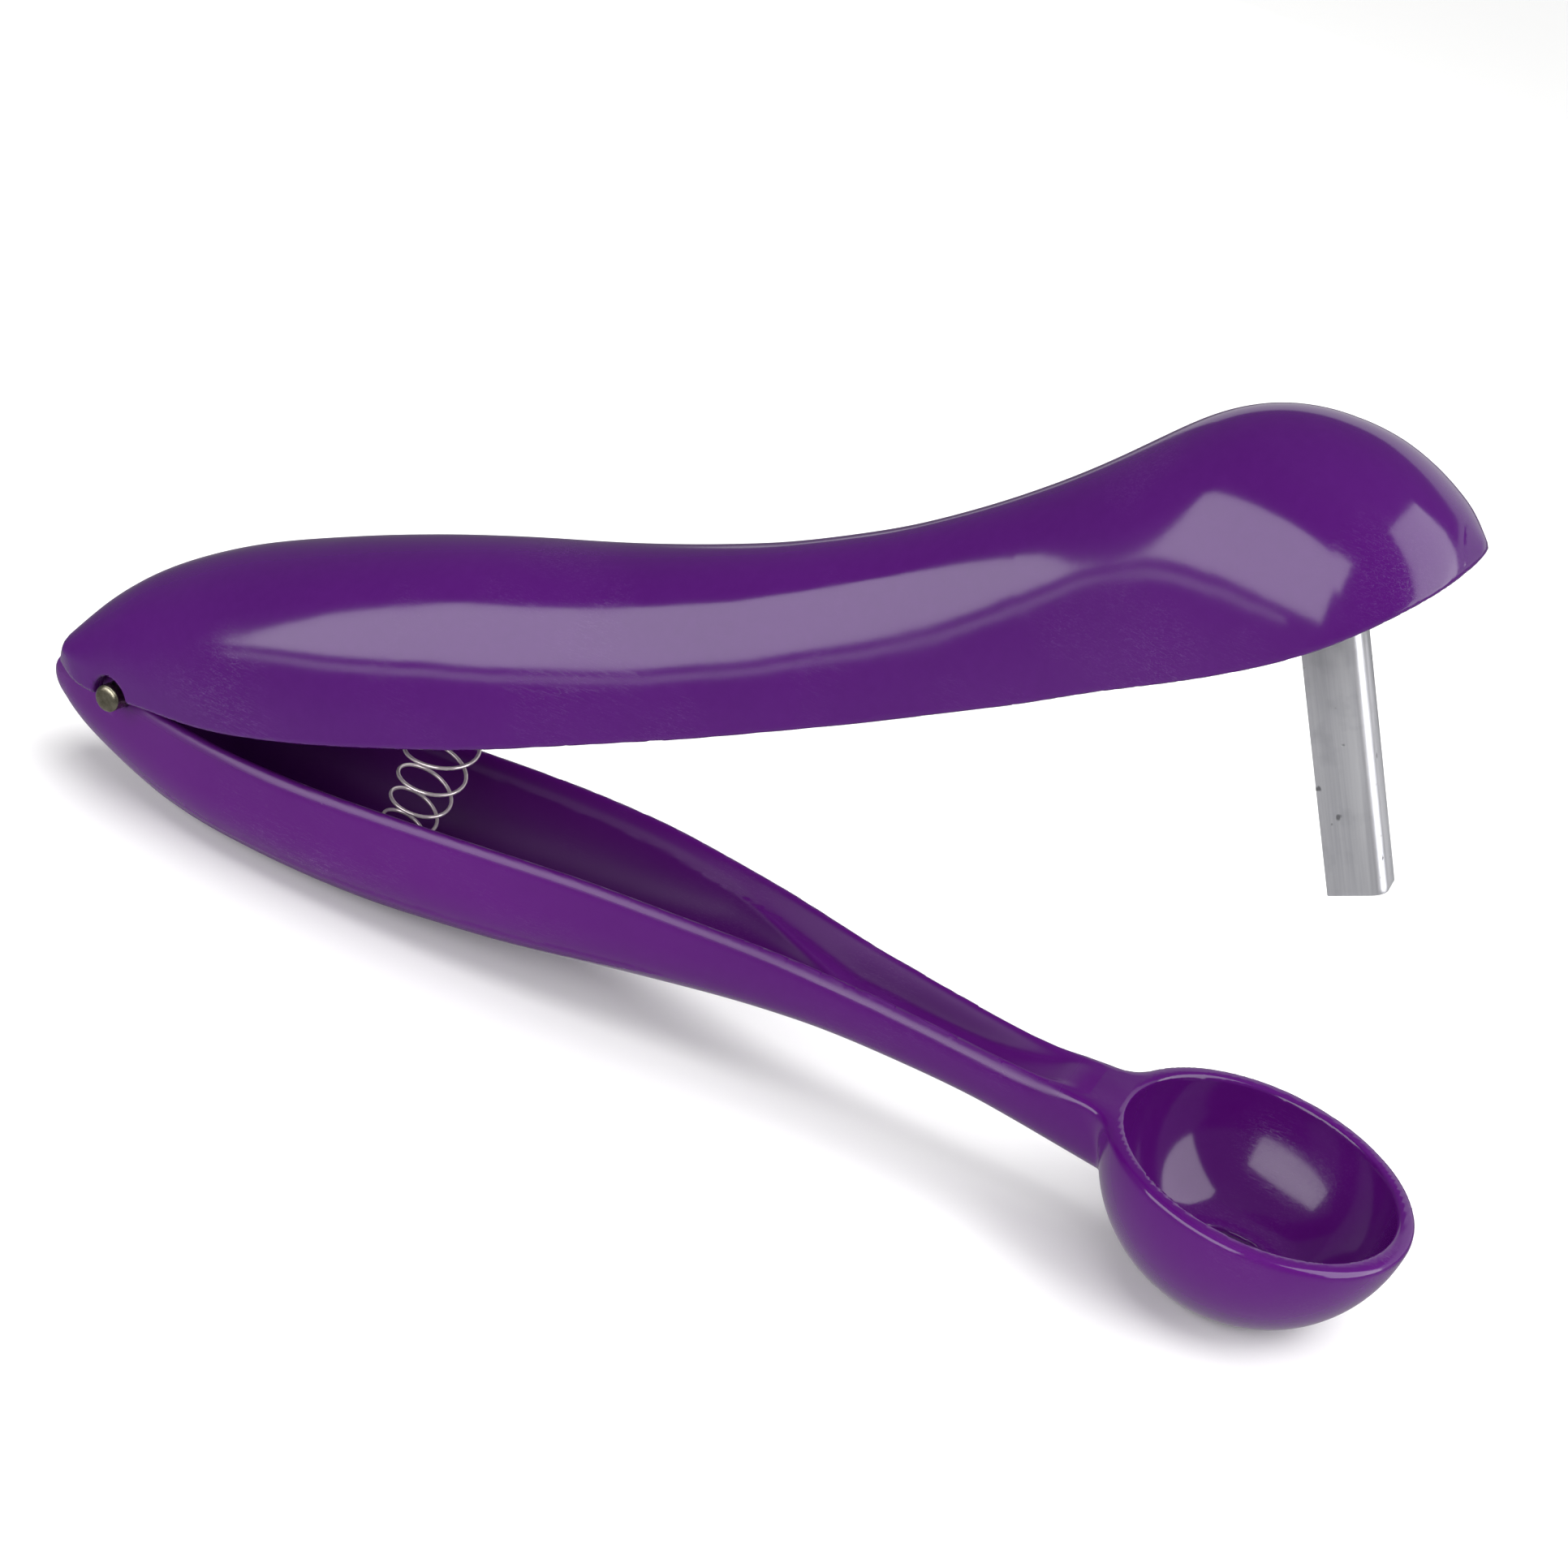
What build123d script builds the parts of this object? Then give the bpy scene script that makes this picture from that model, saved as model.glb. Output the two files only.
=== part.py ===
from build123d import *
import math
import os

os.makedirs("parts", exist_ok=True)

# ---------------------------------------------------------------- dimensions
# millimetres.  Two working frames share the hinge axis (the Y axis):
#   lower frame : origin at the hinge, X along the lower arm to the cup tip
#   upper frame : origin at the hinge, X along the upper arm to the hood tip
# The finished model stands on the flat under the cup and on the lower arm's
# belly, with its origin at the centre of the pit hole.
open_deg = 27.0            # angle between the two arms as modelled
wall = 1.8                 # moulded wall of both arms
pin_r = 1.6                # steel hinge pin
pin_half = 11.5            # half of the pin's length
pin_chamfer = 0.35
bore_gap = 0.04            # running clearance of the ears on the pin
ear_y0, ear_y1 = 3.9, 5.8  # hinge ears of the upper arm, inside the lower walls
lug_r = 3.7                # lug of the lower wall around the pin
lug_y = 7.32               # middle of the lug's thickness
notch_r = 2.5              # open notch of the upper wall around the pin

cup_x = 136.7              # cup centre along the lower arm
cup_z = 1.0                # cup rim centre above the hinge line
cup_r = 16.3               # outer radius of the cup
cup_wall = 1.9
cup_tilt = 2.8             # the rim plane drops towards the tip
foot_z = -13.6             # flat under the cup, level with the belly
hole_r = 5.7               # pit hole

plunger_x = 137.1          # plunger station along the upper arm
plunger_lean = 1.8         # degrees, the tip leans to the hinge
plunger_w = 5.5            # along the arm
plunger_d = 5.3            # across the arm
plunger_t = 0.8            # sheet thickness
plunger_bend = 1.3         # outer bend radius
plunger_tip = -32.0        # tip below the upper arm's line
plunger_root = 7.0         # buried end, inside the hood

wire_r = 0.22              # spring wire
coil_turns = 9.25
coil_phase = -1.46         # angle of the wire's end about the axis
coil_r_low, coil_r_up = 2.2, 5.6
spring_x_low = 33.6        # spring foot on the lower arm
spring_x_up = 40.8         # spring seat in the upper arm


# ---------------------------------------------------------------- helpers
def curve(points):
    """Smooth monotone-safe cubic through (x, value) points."""
    xs = [p[0] for p in points]
    ys = [p[1] for p in points]
    n = len(xs)
    h = [xs[i + 1] - xs[i] for i in range(n - 1)]
    d = [(ys[i + 1] - ys[i]) / h[i] for i in range(n - 1)]
    m = [d[0]] + [0.0] * (n - 2) + [d[-1]]
    for i in range(1, n - 1):
        if d[i - 1] * d[i] > 0:
            a = 2 * h[i] + h[i - 1]
            b = h[i] + 2 * h[i - 1]
            m[i] = (a + b) / (a / d[i - 1] + b / d[i])

    def f(x):
        x = min(max(x, xs[0]), xs[-1])
        i = 0
        while i < n - 2 and x > xs[i + 1]:
            i += 1
        t = (x - xs[i]) / h[i]
        return ((2 * t**3 - 3 * t**2 + 1) * ys[i] + (t**3 - 2 * t**2 + t) * h[i] * m[i]
                + (-2 * t**3 + 3 * t**2) * ys[i + 1] + (t**3 - t**2) * h[i] * m[i + 1])
    return f


def dome_section(x, half, equator, crown, skirt, power, samples=9):
    """Closed face in the plane X = x: a superelliptic dome from the equator
    to the crown, with straight walls that run on to the skirt level."""
    e = 2.0 / power
    pts = []
    for i in range(samples):
        a = math.pi * i / (samples - 1)
        c, s = math.cos(a), math.sin(a)
        y = -half * math.copysign(abs(c) ** e, c)
        z = equator + (crown - equator) * (abs(s) ** e)
        pts.append((x, y, z))
    up = 1 if crown > equator else -1
    arc = Spline(*pts, tangents=[(0, 0, up), (0, 0, -up)])
    w = [arc,
         Line((x, half, equator), (x, half, skirt)),
         Line((x, half, skirt), (x, -half, skirt)),
         Line((x, -half, skirt), (x, -half, equator))]
    return Face(Wire(w))


def prism(points, half_width):
    """Prism along Y of a polygon or spline outline in the XZ plane."""
    outline = Polyline(*[(p[0], 0, p[1]) for p in points], close=True)
    face = Face(Wire(outline.edges()))
    return extrude(face, amount=half_width, dir=(0, 1, 0), both=True)


# ---------------------------------------------------------------- arm profiles
# upper arm, upper frame: crown line, rim line and half-width
up_top = curve([(-9.6, 5.5), (-7.5, 7.3), (-3.6, 9.7), (0, 11.2), (6.9, 12.7), (16.5, 13.4),
                (28.5, 12.8), (40.3, 11.5), (51.8, 9.5), (63.2, 7.2), (74.9, 5.6), (84, 5.2),
                (93.7, 5.7), (103.2, 7.0), (110, 8.4), (116, 9.9), (121, 11.5), (125, 13.1), (129, 14.3),
                (133, 14.5), (138, 13.3), (143, 10.4), (146.4, 6.7), (148.6, 3.2), (149.8, 0.7)])
up_rim = curve([(-12, 7.5), (-9.6, 4.7), (-8, 3.4), (-5, 1.5), (0, -0.1), (4, -0.9), (9, -2.7), (15, -4.2),
                (26, -5.6), (38, -6.6), (49, -7.8), (63, -8.9), (75, -9.2), (88, -9.2), (100, -8.9),
                (108, -8.4), (117, -7.3), (128, -6.2), (138, -4.4), (146, -2.1), (150.5, -0.2)])
up_half = curve([(-9.6, 7.0), (-8, 8.2), (-5, 9.9), (0, 10.75), (8, 12.2), (18, 13.8), (30, 14.3),
                 (45, 13.9), (60, 12.8), (75, 11.3), (90, 10.1), (103, 9.7), (113, 10.4),
                 (121, 12.2), (128, 13.8), (134, 14.4), (139, 13.9), (143, 12.3), (146.2, 9.6),
                 (148.4, 6.4), (149.8, 2.8)])
# lower arm, lower frame: belly line, rim line and half-width
low_bot = curve([(-13.7, -4.2), (-12.8, -6.0), (-9.8, -8.3), (-5.4, -10.3), (0, -11.8), (7, -13.2),
                 (15, -13.6), (22, -13.6), (34.4, -13.1), (46, -11.6), (54.7, -10.3), (63.3, -8.6),
                 (72, -7.1), (80.8, -5.8), (92.7, -5.0), (104.9, -5.1), (113, -5.8), (121, -6.6),
                 (127, -7.0)])
low_rim = curve([(-14, -1.8), (-12, -1.7), (-8, -1.3), (-3, -0.6), (3, -0.3), (8, -0.1), (14, 0.0),
                 (22, 0.3), (30, 0.9), (38, 1.6), (46, 2.4), (54, 3.2), (64, 3.9), (76, 3.9),
                 (88, 3.4), (98, 2.8), (108, 2.1), (115, 1.7), (121, 1.7), (127, 1.7)])
low_half = curve([(-13.7, 2.8), (-12.8, 4.4), (-9.8, 5.9), (-5.4, 7.1), (0, 8.3), (8, 10.0), (15, 11.1),
                  (30, 11.8), (45, 11.5), (60, 10.3), (75, 8.2), (90, 5.8), (100, 4.9), (110, 4.5),
                  (118, 4.7), (127, 5.4)])


def upper_body(inset):
    """Lofted upper-arm form, smaller by inset on every side."""
    if inset == 0:
        xs = [-9.6, -8, -5, 0, 8, 18, 30, 42, 54, 66, 78, 90, 100, 110, 118, 125, 131, 136,
              140.5, 144.0, 146.8, 148.7, 149.8]
    else:
        xs = [-14, -8, -5, 0, 8, 18, 30, 42, 54, 66, 78, 90, 100, 110, 118, 125, 131, 136,
              140.5, 143.6, 145.8, 147.4]
    faces = []
    for x in xs:
        half = up_half(x) - inset
        top = up_top(x) - inset
        if inset > 0 and x > 140:
            # the end wall keeps its thickness where the form closes
            g = (x - 140) / 7.4
            half = max(half - 2.0 * g * g, 2.2)
            top = top - 1.4 * g * g
        eq = min(up_rim(x) + (3.0 if x < 10 else 1.5), top - 2.5)
        if x > 140:
            eq = min(eq, up_rim(x) - 0.2)
        power = 2.25 if x < 110 else 2.25 - 0.15 * min((x - 110) / 20, 1)
        faces.append(dome_section(x, half, eq, top, -16.0, power))
    return Solid.make_loft([f.outer_wire() for f in faces], ruled=False)


def lower_body(inset):
    """Lofted lower-arm form; the inner one also carries the trough floor."""
    faces = []
    if inset <= 0:
        # inset 0 is the arm; -1 is its rear end with 0.35 of clearance
        grow = 0.35 if inset else 0.0
        xs = [-13.7, -12.8, -9.8, -5.4, 0, 7, 15, 24, 34, 44, 54, 63, 72, 81, 90, 99, 108, 117, 127]
        for x in xs[:6] if inset else xs:
            eq = min(low_rim(x) - 1.2, 0.4 * low_rim(x) + 0.6 * low_bot(x) + 2.6)
            faces.append(dome_section(x - grow * (x < -9), low_half(x) + grow, eq,
                                      low_bot(x) - grow, 12.0, 2.45))
    else:
        trough = curve([(-11.6, -4.7), (-9.4, -6.7), (-5, -8.6), (0, -10.1), (7, -11.4),
                        (15, -11.8), (24, -11.8), (34, -11.2), (46, -9.7), (54, -8.2), (63, -6.3),
                        (70, -4.5), (77, -2.4), (84, -1.0), (92, -0.5), (100, -0.7), (107, -0.9),
                        (111, -0.6), (115, 0.6), (118.5, 2.4)])
        t_half = curve([(-11.6, 2.6), (-9.4, 4.4), (-5, 6.15), (0, 6.95), (7, 8.3), (15, 9.5),
                        (30, 10.1), (45, 9.7), (54, 9.0), (63, 8.0), (72, 6.7), (81, 5.2),
                        (90, 4.1), (100, 3.6), (110, 3.4), (118.5, 3.6)])
        xs = [-11.6, -9.4, -5, 0, 7, 15, 24, 34, 44, 54, 63, 72, 81, 90, 99, 107, 112, 115.5, 118.5]
        for x in xs:
            eq = max(low_rim(x) - 1.2, trough(x) + 0.8)
            faces.append(dome_section(x, t_half(x), eq, trough(x), 12.0, 2.1))
    return Solid.make_loft([f.outer_wire() for f in faces], ruled=False)


def rim_cutter(rim, x0, x1, level, n=60):
    """Region between a rim line and a far level, to trim an arm's edge."""
    xs = [x0 + (x1 - x0) * i / n for i in range(n + 1)]
    line = Spline(*[(x, 0, rim(x)) for x in xs])
    a, b = (x0, 0, rim(x0)), (x1, 0, rim(x1))
    w = Wire([line, Line(b, (x1, 0, level)), Line((x1, 0, level), (x0, 0, level)),
              Line((x0, 0, level), a)])
    return extrude(Face(w), amount=40, dir=(0, 1, 0), both=True)


def rod(r, half, x=0.0, z=0.0):
    """Cylinder along Y centred on the XZ point."""
    return Pos(x, 0, z) * Rot(90, 0, 0) * Cylinder(r, 2 * half)


# ---------------------------------------------------------------- lower arm
low = lower_body(0) - lower_body(1)
low = low - rim_cutter(low_rim, -16, 130, 30)
# lugs that carry the pin, one on each wall, inside the upper arm's walls
for s in (-1, 1):
    lug = Pos(0, s * lug_y, 0) * Rot(90, 0, 0) * Cylinder(lug_r, 1.1)
    low = low + lug
# the cup: a ball, open at the rim plane, flat underneath, with the pit hole
ball = Pos(cup_x, 0, cup_z) * Sphere(cup_r)
cavity = Pos(cup_x, 0, cup_z) * Sphere(cup_r - cup_wall)
rim_box = Pos(cup_x, 0, cup_z) * Rot(0, cup_tilt, 0) * Pos(0, 0, 20) * Box(60, 60, 40)
under_box = Pos(cup_x, 0, foot_z - 10) * Box(60, 60, 20)
inner_floor = Pos(cup_x, 0, foot_z + 2.2 - 10) * Box(60, 60, 20)
cavity = cavity - inner_floor
low = low + (ball - rim_box)
low = low - cavity
# the neck ends at the cup: nothing of it stands over the cup's mouth
mouth = Pos(cup_x, 0, cup_z) * Rot(0, cup_tilt, 0) * Pos(0, 0, 10) * Cylinder(cup_r - 0.7, 20)
low = low - mouth
low = low - under_box
low = low - Pos(cup_x, 0, foot_z) * Cylinder(hole_r, 20)
low = low - rod(pin_r, 30)
# spring post on the floor
post_top = -6.6
post = Pos(spring_x_low, 0, (post_top - 12.2) / 2) * Cylinder(1.35, post_top + 12.2)
seat = Pos(spring_x_low, 0, -11.0) * Cylinder(3.4, 1.4)
low = low + seat + post
lower_arm = low

# ---------------------------------------------------------------- upper arm
up = upper_body(0) - upper_body(wall)
up = up - rim_cutter(up_rim, -16, 156, -30)
up = up - rod(notch_r, 30)
# room for the lower arm's rounded rear end over the whole swing
rear = lower_body(-1) & (Pos(-9, 0, -3) * Box(16, 30, 26))
rear = rear - rim_cutter(lambda x: low_rim(x) + 0.35, -17, 0, 30, 16)
for swing in (7, 13, 20, 27, 33.5, 40):
    up = up - Rot(0, swing, 0) * rear
up = max(up.solids(), key=lambda s: s.volume)
# hinge ears, hung from the roof inside the lower arm's walls
ear_outline = [(-4.2, 8.8), (-4.2, 0), (-3.1, -2.9), (0, -4.2), (5.5, -5.3), (12.5, -6.9),
               (16.8, -7.2), (18.0, -6.0), (18.0, 12.6), (5, 12.0), (0, 10.4)]
ear_block = prism(ear_outline, ear_y1) - prism(ear_outline, ear_y0)
ear_block = ear_block & (upper_body(wall * 0.6) + Pos(5, 0, -10) * Box(40, 40, 30))
# hood socket that grips the plunger
sock = (Pos(plunger_x, 0, 0) * Rot(0, plunger_lean, 0)
        * Pos(0, 0, 6.2) * Box(plunger_w + 4.4, plunger_d + 4.4, 13.6))
sock = sock & upper_body(wall * 0.6)
# spring boss under the roof
boss = Pos(spring_x_up, 0, 7.9) * Cylinder(2.6, 7.0)
boss = boss & upper_body(wall * 0.6)
up = up + ear_block + sock + boss
up = up - rod(pin_r + bore_gap, 30)


def channel(w, d, t, bend, z0, z1):
    """Folded sheet channel: flanges along X, web on the tip side."""
    with BuildPart() as bp:
        with BuildSketch(Plane.XY.offset(z0)):
            with Locations((0, 0)):
                Rectangle(w, d)
            fillet([v for v in vertices() if v.X > 0], bend)
            with Locations((-t, 0)):
                Rectangle(w, d - 2 * t, mode=Mode.SUBTRACT)
        extrude(amount=z1 - z0)
    return bp.part


plunger_place = Pos(plunger_x, 0, 0) * Rot(0, plunger_lean, 0)
plunger = plunger_place * channel(plunger_w, plunger_d, plunger_t, plunger_bend,
                                  plunger_tip, plunger_root)
up = up - plunger
upper_arm = up

# ---------------------------------------------------------------- pin
pin = rod(pin_r, pin_half)
pin = chamfer(pin.edges().filter_by(GeomType.CIRCLE), pin_chamfer)

# ---------------------------------------------------------------- placing
to_row = Pos(-cup_x, 0, -foot_z)
lift = Rot(0, -open_deg, 0)

lower_arm = to_row * lower_arm
pin = to_row * pin
upper_arm = to_row * lift * upper_arm
plunger = to_row * lift * plunger

# ---------------------------------------------------------------- spring
# conical coil between two slanted seats: its small end sits over the lower
# post, its large end under the roof, and it bows away from the hinge between
th = math.radians(open_deg)


def up_to_low(x, z):
    return (x * math.cos(th) - z * math.sin(th), x * math.sin(th) + z * math.cos(th))


foot = (spring_x_low, -10.06)
head = up_to_low(spring_x_up, 7.9)
reach_1 = (foot[0] + 0.4, foot[1] + 8.0)
reach_2 = (head[0] + math.sin(th) * 20.5, head[1] - math.cos(th) * 20.5)


def axis_at(t):
    """Point and unit direction of the spring's bowed axis, XZ plane."""
    k = ((1 - t)**3, 3 * t * (1 - t)**2, 3 * t * t * (1 - t), t**3)
    p = [sum(w * q[i] for w, q in zip(k, (foot, reach_1, reach_2, head))) for i in (0, 1)]
    k = (-(1 - t)**2, (1 - t)**2 - 2 * t * (1 - t), 2 * t * (1 - t) - t * t, t * t)
    d = [sum(w * q[i] for w, q in zip(k, (foot, reach_1, reach_2, head))) for i in (0, 1)]
    m = math.hypot(*d)
    return p, (d[0] / m, d[1] / m)


coil_pts = []
steps = round(coil_turns * 12)
for i in range(steps + 1):
    t = i / steps
    (px, pz), (dx, dz) = axis_at(t)
    r = coil_r_low + (coil_r_up - coil_r_low) * t
    a = 2 * math.pi * coil_turns * t + coil_phase
    # right-handed about the axis; the normal in the XZ plane is (dz, -dx)
    n = r * math.cos(a)
    coil_pts.append((px + n * dz, r * math.sin(a), pz - n * dx))
path = Spline(*coil_pts)
profile = Plane(origin=path @ 0, z_dir=path % 0) * Circle(wire_r)
coil = sweep(profile, path=path, is_frenet=True)
spring = to_row * coil

# ---------------------------------------------------------------- files
for name, shape in (("lower_arm", lower_arm), ("upper_arm", upper_arm), ("hinge_pin", pin),
                    ("pitting_plunger", plunger), ("return_spring", spring)):
    shape.label = name
    export_step(shape, f"parts/{name}.step")
    print(name, len(shape.solids()), round(shape.volume, 1))
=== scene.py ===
import bpy, math
import numpy as np
from mathutils import Matrix, Vector


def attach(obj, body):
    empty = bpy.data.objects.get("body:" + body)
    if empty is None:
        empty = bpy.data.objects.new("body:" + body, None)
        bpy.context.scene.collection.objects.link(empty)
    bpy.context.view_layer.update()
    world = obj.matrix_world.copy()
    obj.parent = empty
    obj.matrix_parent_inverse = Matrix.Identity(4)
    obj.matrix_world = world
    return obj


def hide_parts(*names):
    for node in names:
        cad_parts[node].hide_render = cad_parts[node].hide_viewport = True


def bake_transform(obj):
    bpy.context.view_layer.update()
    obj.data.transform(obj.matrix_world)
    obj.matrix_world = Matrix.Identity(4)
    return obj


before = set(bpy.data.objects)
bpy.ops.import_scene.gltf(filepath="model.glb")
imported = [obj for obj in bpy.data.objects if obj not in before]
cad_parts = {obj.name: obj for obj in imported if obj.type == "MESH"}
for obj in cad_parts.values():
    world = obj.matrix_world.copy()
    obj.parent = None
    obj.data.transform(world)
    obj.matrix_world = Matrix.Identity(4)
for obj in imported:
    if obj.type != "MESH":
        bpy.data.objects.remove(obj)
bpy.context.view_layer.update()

# ------------------------------------------------------------------ frames
# lower frame (LF): hinge axis at the origin, +X along the lower arm, mm
# upper frame (UF): the same, along the upper arm, opened by OPEN degrees
OPEN = math.radians(27.0)
CUP_X, FOOT_Z = 136.7, -13.6
CO, SO = math.cos(OPEN), math.sin(OPEN)


def lf_to_row(p):
    p = np.asarray(p, float)
    return np.stack([p[..., 0] - CUP_X, p[..., 1], p[..., 2] - FOOT_Z], -1) * 0.001


def uf_to_lf(p):
    p = np.asarray(p, float)
    return np.stack([p[..., 0] * CO - p[..., 2] * SO, p[..., 1],
                     p[..., 0] * SO + p[..., 2] * CO], -1)


# ------------------------------------------------------------------ curves
def pchip(points, xq):
    xs = np.array([p[0] for p in points], float)
    ys = np.array([p[1] for p in points], float)
    h = np.diff(xs)
    d = np.diff(ys) / h
    m = np.zeros(len(xs))
    m[0], m[-1] = d[0], d[-1]
    for i in range(1, len(xs) - 1):
        if d[i - 1] * d[i] > 0:
            a = 2 * h[i] + h[i - 1]
            b = h[i] + 2 * h[i - 1]
            m[i] = (a + b) / (a / d[i - 1] + b / d[i])
    x = np.clip(xq, xs[0], xs[-1])
    i = np.clip(np.searchsorted(xs, x, side="right") - 1, 0, len(xs) - 2)
    t = (x - xs[i]) / h[i]
    y = ((2 * t**3 - 3 * t**2 + 1) * ys[i] + (t**3 - 2 * t**2 + t) * h[i] * m[i]
         + (-2 * t**3 + 3 * t**2) * ys[i + 1] + (t**3 - t**2) * h[i] * m[i + 1])
    # run on in a straight line past both ends
    return y + np.where(xq < xs[0], (xq - xs[0]) * m[0], 0) + np.where(xq > xs[-1], (xq - xs[-1]) * m[-1], 0)


STEP = 0.1
GRID_X = np.arange(-24.0, 166.0, STEP)


def curve(points, sigma=2.6, keep=None):
    """Table of a smooth curve through the points: a monotone cubic, rounded by
    a Gaussian whose width falls to nothing within a few mm of the ends."""
    y = pchip(points, GRID_X)
    lo, hi = keep or (points[0][0], points[-1][0])
    out = np.zeros_like(y)
    levels = [0.0, 0.5, 1.0, 1.7, sigma]
    tabs = []
    for s in levels:
        if s == 0:
            tabs.append(y)
            continue
        n = int(4 * s / STEP)
        k = np.exp(-0.5 * (np.arange(-n, n + 1) * STEP / s) ** 2)
        k /= k.sum()
        tabs.append(np.convolve(np.pad(y, n, mode="reflect", reflect_type="odd"), k, mode="valid"))
    want = np.clip(np.minimum(GRID_X - lo, hi - GRID_X) / 4.0, 0.0, sigma)
    for a in range(len(levels) - 1):
        m = (want >= levels[a]) & (want <= levels[a + 1])
        w = (want[m] - levels[a]) / (levels[a + 1] - levels[a])
        out[m] = tabs[a][m] * (1 - w) + tabs[a + 1][m] * w
    return lambda x: np.interp(x, GRID_X, out)


up_top = curve([(-9.6, 5.5), (-7.5, 7.3), (-3.6, 9.7), (0, 11.2), (6.9, 12.7), (16.5, 13.4),
                (28.5, 12.9), (40.3, 11.9), (51.8, 10.4), (63.2, 8.6), (74.9, 7.3), (84, 6.75),
                (93.7, 6.9), (103.2, 7.9), (110, 9.1), (116, 10.5), (121, 12.0), (125, 13.3),
                (129, 14.45), (133, 14.7), (138.3, 13.55), (143.6, 10.6), (147.1, 7.05), (149.6, 3.4),
                (151.0, 0.9)])
up_rim = curve([(-12, 7.5), (-9.6, 4.7), (-8, 3.4), (-5, 1.4), (0, -0.35), (4, -1.2), (9, -2.8),
                (15, -4.3), (26, -6.15), (38, -7.6), (49, -8.65), (63, -9.3), (75, -9.8),
                (88, -9.9), (100, -9.6), (108, -9.2), (117, -8.2), (128, -7.0), (138, -5.5),
                (146.5, -3.1), (152.0, -1.2)], 2.0)
up_half = curve([(-9.6, 7.0), (-8, 8.2), (-5, 9.9), (0, 10.75), (8, 12.2), (18, 13.8),
                 (30, 14.3), (45, 13.9), (60, 12.8), (75, 11.3), (90, 10.1), (103, 9.7),
                 (113, 10.4), (121, 12.2), (128, 13.8), (134, 14.4), (139.4, 13.9), (143.7, 12.3),
                 (147.1, 9.6), (149.5, 6.4), (151.0, 2.8)])
low_bot = curve([(-13.7, -4.2), (-12.8, -6.0), (-9.8, -8.3), (-5.4, -10.3), (0, -11.8),
                 (7, -13.2), (15, -13.6), (22, -13.6), (34.4, -13.1), (46, -11.6),
                 (54.7, -10.3), (63.3, -8.6), (72, -7.1), (80.8, -5.8), (92.7, -5.0),
                 (104.9, -5.1), (113, -5.8), (121, -6.6), (127, -7.0)])
low_rim = curve([(-14, -1.8), (-12, -1.7), (-8, -1.3), (-3, -0.6), (3, -0.3), (8, -0.1),
                 (14, 0.05), (22, 0.45), (30, 1.15), (38, 1.95), (46, 2.75), (54, 3.45), (64, 4.0),
                 (76, 3.9), (88, 3.4), (98, 2.8), (108, 2.1), (115, 1.8), (121, 1.77),
                 (127, 1.47), (137, 0.99), (153, 0.2)])
low_half = curve([(-13.7, 2.8), (-12.8, 4.4), (-9.8, 5.9), (-5.4, 7.1), (0, 8.3), (8, 10.0),
                  (15, 11.1), (30, 11.8), (45, 11.5), (60, 10.3), (75, 8.2), (90, 5.8),
                  (100, 4.9), (110, 4.5), (118, 4.7), (127, 5.4)])
trough = curve([(-11.6, -4.7), (-9.4, -6.7), (-5, -8.6), (0, -10.1), (7, -11.4), (15, -11.8),
                (24, -11.8), (34, -11.2), (46, -9.7), (54, -8.2), (63, -6.3), (70, -4.5),
                (77, -2.4), (84, -1.0), (92, -0.5), (100, -0.7), (105, -0.75), (109, -0.25),
                (113, 0.6), (117, 1.65), (121, 2.9), (125, 4.2)])
t_half = curve([(-11.6, 2.6), (-9.4, 4.4), (-5, 6.15), (0, 6.95), (7, 8.3), (15, 9.5),
                (30, 10.1), (45, 9.7), (54, 9.0), (63, 8.0), (72, 6.7), (81, 5.2), (90, 4.1),
                (100, 3.6), (110, 3.4), (118.5, 3.6)])
# the rim's inner side slopes down to an edge this far below the rim
rim_fall = curve([(-14, 0.15), (8, 0.2), (16, 0.5), (24, 1.1), (34, 1.7), (48, 1.95), (62, 2.1),
                  (74, 2.5), (84, 3.2), (92, 4.0), (104, 4.2), (125, 4.2)])


# ------------------------------------------------------------------ distance forms
def ramp01(t):
    t = np.clip(t, 0, 1)
    return t * t * (3 - 2 * t)


def smax(a, b, k):
    """Larger of two distances, its edge rounded over about k mm."""
    h = np.maximum(k - np.abs(a - b), 0) / k
    return np.maximum(a, b) + h * h * k * 0.25


def smin(a, b, k):
    return -smax(-a, -b, k)


def unit(g, P, h=0.03):
    """Distance-like value of an implicit function, by its gradient."""
    d = [np.array(v, float) * h for v in ((1, 0, 0), (0, 1, 0), (0, 0, 1))]
    gr = [(g(P + e) - g(P - e)) / (2 * h) for e in d]
    n = np.sqrt(gr[0] ** 2 + gr[1] ** 2 + gr[2] ** 2)
    return g(P) / np.maximum(n, 1e-3)


def dome(P, half, eq, crown, power):
    """Implicit superelliptic dome over straight walls; below 0 inside."""
    a = np.abs(P[..., 1]) / half
    b = np.maximum((P[..., 2] - eq) / (crown - eq), 0)
    return (a ** power + b ** power + 1e-9) ** (1 / power) - 1


def box_d(P, c, half, r=0.0):
    q = np.abs(P - np.array(c, float)) - (np.array(half, float) - r)
    out = np.sqrt((np.maximum(q, 0) ** 2).sum(-1))
    return out + np.minimum(q.max(-1), 0) - r


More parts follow.
